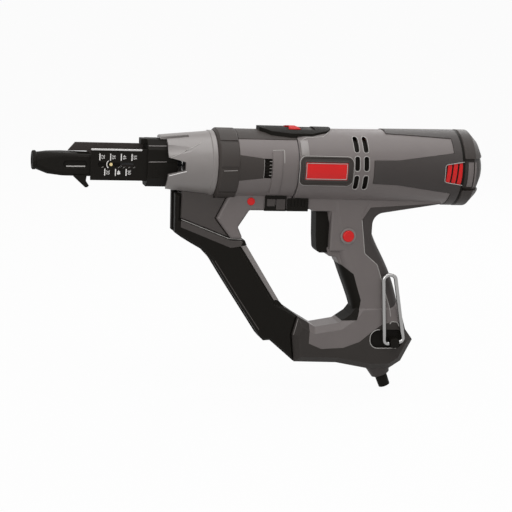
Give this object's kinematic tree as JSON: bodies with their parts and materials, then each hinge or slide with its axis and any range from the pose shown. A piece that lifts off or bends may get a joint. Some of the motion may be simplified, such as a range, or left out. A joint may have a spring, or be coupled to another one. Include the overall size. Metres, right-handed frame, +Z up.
{
  "type": "auto-feed drywall screwdriver",
  "caption": "Pistol-grip corded screwdriver with a sliding auto-feed nose, a strip guide arm joining nose and grip base, a trigger and a wire hanging hook.",
  "frame": {"origin": "centre of the muzzle's front face, on the spindle axis", "axes": "+X rearwards along the spindle, so the tool drives towards -X; +Z up; the side with the lock button faces -Y"},
  "size_m": [0.482, 0.0812, 0.2854],
  "materials": {
    "shell_grey": "satin moulded plastic",
    "dark_grey": "satin moulded plastic",
    "black_plastic": "fine grained moulded plastic",
    "grip_rubber": "soft matt overmould",
    "cone_grey": "satin grey",
    "accent_red": "semi gloss",
    "steel": "machined",
    "chrome_wire": "polished",
    "case_alloy": "die cast",
    "copper": "copper winding and segments",
    "pin_brass": "turned",
    "carbon": "pressed carbon"
  },
  "bodies": {
    "tool_body": {"nose_cone": "cone_grey", "front_collar": "dark_grey", "top_cover": "dark_grey", "front_housing_left": "shell_grey", "front_housing_right": "shell_grey", "strip_guide": "black_plastic", "guide_rail": "steel", "arm_shell": "dark_grey", "rear_band": "grip_rubber", "motor_housing_left": "shell_grey", "motor_housing_right": "shell_grey", "rear_grip": "grip_rubber", "front_grip": "grip_rubber", "badges": "dark_grey", "badge_faces": "accent_red", "louvres": "accent_red", "rear_cap": "dark_grey", "lever_bezel": "black_plastic", "trigger_switch": "black_plastic", "lock_ring": "chrome_wire", "latch_keeper": "black_plastic", "base_shoe": "dark_grey", "cord_collar": "dark_grey", "cord_sleeve": "grip_rubber", "hook_socket": "black_plastic", "housing_screws": "steel", "gear_case": "case_alloy", "bearings": "steel", "ring_gear": "steel", "bearing_plates": "case_alloy", "field_core": "steel", "field_coils": "copper", "brush_holders": "pin_brass", "carbon_brushes": "carbon"},
    "feed_slide": {"feed_plate_left": "black_plastic", "feed_plate_right": "black_plastic", "feed_block": "black_plastic", "plate_screws": "steel", "return_spring": "steel"},
    "nose": {"nosepiece": "black_plastic", "muzzle_bush": "steel", "length_pin": "pin_brass"},
    "sprocket": {"feed_sprocket": "steel"},
    "depth_wheel": {"depth_wheel": "dark_grey"},
    "depth_stop": {"depth_stop": "steel"},
    "direction_lever": {"direction_lever": "accent_red"},
    "trigger": {"trigger": "black_plastic"},
    "lock_button": {"lock_button": "accent_red"},
    "release_button": {"release_button": "accent_red"},
    "nose_release_slide": {"nose_release_slide": "black_plastic"},
    "wire_hook": {"wire_hook": "chrome_wire"},
    "armature": {"armature_shaft": "steel", "armature_core": "steel", "commutator": "copper", "cooling_fan": "black_plastic"},
    "spindle": {"spindle": "steel", "driver_bit": "steel"},
    "planet_1": {"planet_gear_1": "steel"},
    "planet_2": {"planet_gear_2": "steel"},
    "planet_3": {"planet_gear_3": "steel"}
  },
  "joints": [
    {"name": "feed_slide", "type": "slide", "parent": "tool_body", "child": "feed_slide", "axis": [1, 0, 0], "range_m": [0, 0.078], "stiffness_N_per_m": 400, "springref_m": -0.04, "deforming": ["return_spring"]},
    {"name": "length_setting", "type": "slide", "parent": "feed_slide", "child": "nose", "axis": [1, 0, 0], "range_m": [-0.0116, 0.0217]},
    {"name": "sprocket_spin", "type": "hinge", "parent": "feed_slide", "child": "sprocket", "pos_m": [0.087, 0, -0.01], "axis": [0, 1, 0], "continuous": true},
    {"name": "depth_turn", "type": "hinge", "parent": "tool_body", "child": "depth_wheel", "pos_m": [0.2387, 0, 0], "axis": [1, 0, 0], "range_deg": [-250, 250]},
    {"name": "depth_stop_slide", "type": "slide", "parent": "tool_body", "child": "depth_stop", "axis": [1, 0, 0], "range_m": [-0.00347, 0.00347]},
    {"name": "direction_slide", "type": "slide", "parent": "tool_body", "child": "direction_lever", "axis": [1, 0, 0], "range_m": [0, 0.012]},
    {"name": "trigger_pull", "type": "slide", "parent": "tool_body", "child": "trigger", "axis": [1, 0, 0], "range_m": [0, 0.007], "stiffness_N_per_m": 900, "springref_m": -0.006},
    {"name": "lock_press", "type": "slide", "parent": "tool_body", "child": "lock_button", "axis": [0, 1, 0], "range_m": [0, 0.003], "stiffness_N_per_m": 900, "springref_m": -0.002},
    {"name": "release_press", "type": "slide", "parent": "tool_body", "child": "release_button", "axis": [0, 1, 0], "range_m": [0, 0.0025], "stiffness_N_per_m": 900, "springref_m": -0.002},
    {"name": "nose_release", "type": "slide", "parent": "tool_body", "child": "nose_release_slide", "axis": [1, 0, 0], "range_m": [0, 0.006]},
    {"name": "hook_swing", "type": "hinge", "parent": "tool_body", "child": "wire_hook", "pos_m": [0.3939, -0.0216, -0.1894], "axis": [0.9903, 0, 0.1392], "range_deg": [0, 110]},
    {"name": "armature_spin", "type": "hinge", "parent": "tool_body", "child": "armature", "pos_m": [0.363, 0, 0], "axis": [1, 0, 0], "continuous": true},
    {"name": "spindle_spin", "type": "hinge", "parent": "tool_body", "child": "spindle", "pos_m": [0.263, 0, 0], "axis": [1, 0, 0], "continuous": true},
    {"name": "planet_1_spin", "type": "hinge", "parent": "spindle", "child": "planet_1", "pos_m": [0.301, 0.0144, 0], "axis": [1, 0, 0], "continuous": true},
    {"name": "planet_2_spin", "type": "hinge", "parent": "spindle", "child": "planet_2", "pos_m": [0.301, -0.0072, 0.01247], "axis": [1, 0, 0], "continuous": true},
    {"name": "planet_3_spin", "type": "hinge", "parent": "spindle", "child": "planet_3", "pos_m": [0.301, -0.0072, -0.01247], "axis": [1, 0, 0], "continuous": true}
  ],
  "couplings": [
    {"joint": "depth_turn", "follows": "depth_stop_slide", "rad_per_m": 1256.6},
    {"joint": "spindle_spin", "follows": "armature_spin", "ratio": 0.16667},
    {"joint": "planet_1_spin", "follows": "armature_spin", "ratio": -0.41667},
    {"joint": "planet_2_spin", "follows": "armature_spin", "ratio": -0.41667},
    {"joint": "planet_3_spin", "follows": "armature_spin", "ratio": -0.41667}
  ]
}
